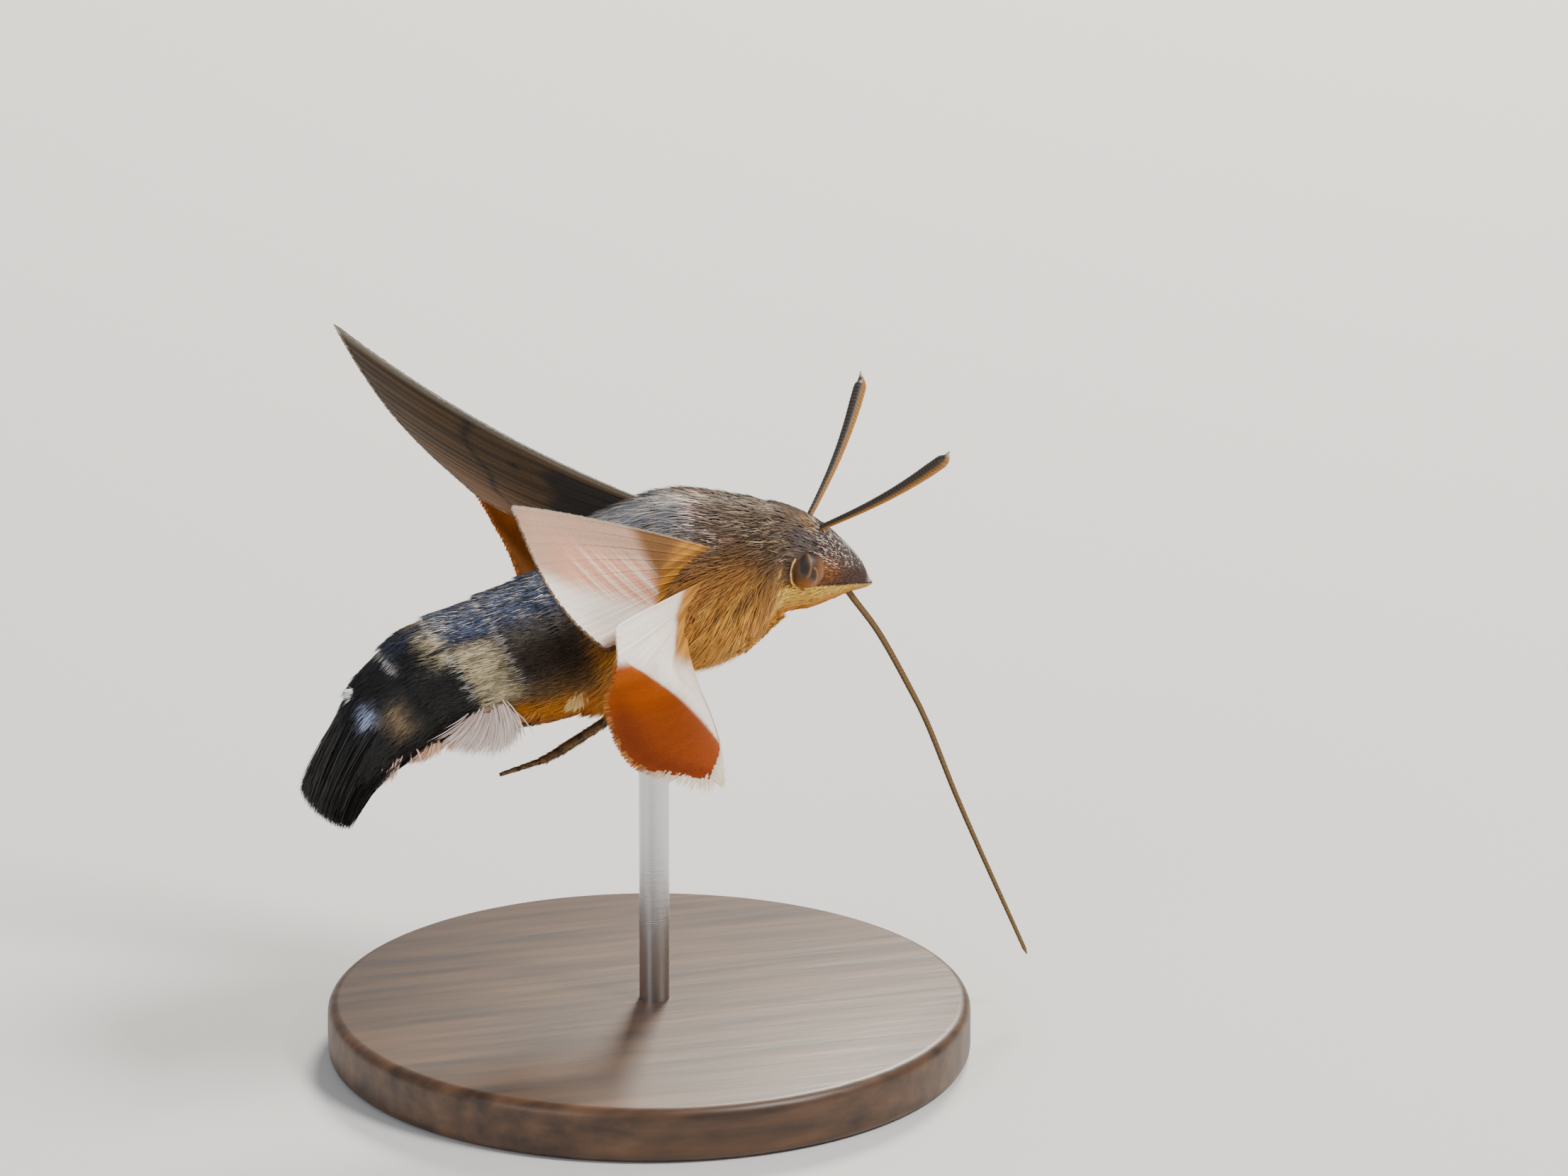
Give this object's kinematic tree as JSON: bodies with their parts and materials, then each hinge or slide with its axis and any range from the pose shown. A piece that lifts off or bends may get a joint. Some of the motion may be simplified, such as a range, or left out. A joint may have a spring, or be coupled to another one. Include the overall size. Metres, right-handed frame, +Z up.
{
  "type": "hummingbird hawk moth",
  "caption": "Life-size still model of a hovering hummingbird hawk moth with raised wings and a long feeding tube, held on a small display stand.",
  "frame": {"origin": "centre of the flat underside of the stand's base", "axes": "+X towards the moth's head, +Y towards its left wing, +Z up"},
  "size_m": [0.0397, 0.0344, 0.0368],
  "materials": {
    "coat_grey_brown": "short dense fur of hair scales, grey-brown above and golden below",
    "coat_black": "short dense fur of hair scales, blue-grey and black with cream and white patches",
    "palp_scales": "close cream scales",
    "eye": "dark glossy compound eye",
    "antenna": "fine scaled, dark brown",
    "horn": "dark satin chitin",
    "forewing": "scaled membrane, brown with dark bands above, pinkish white and golden below",
    "hindwing": "scaled membrane, orange above, white below with a folded orange lobe",
    "leg": "scaled, dark brown",
    "stand_wood": "satin dark wood",
    "stand_steel": "satin steel"
  },
  "bodies": {
    "root": {"abdomen": "coat_black", "antenna_left": "antenna", "antenna_right": "antenna", "eye_left": "eye", "eye_right": "eye", "forewing_left": "forewing", "forewing_right": "forewing", "head": "coat_grey_brown", "hindwing_left": "hindwing", "hindwing_right": "hindwing", "leg_front_left": "leg", "leg_front_right": "leg", "leg_hind_left": "leg", "leg_hind_right": "leg", "leg_middle_left": "leg", "leg_middle_right": "leg", "palp_left": "palp_scales", "palp_right": "palp_scales", "proboscis": "horn", "stand_base": "stand_wood", "stand_rod": "stand_steel", "tail_fan": "coat_black", "thorax": "coat_grey_brown"}
  },
  "joints": []
}
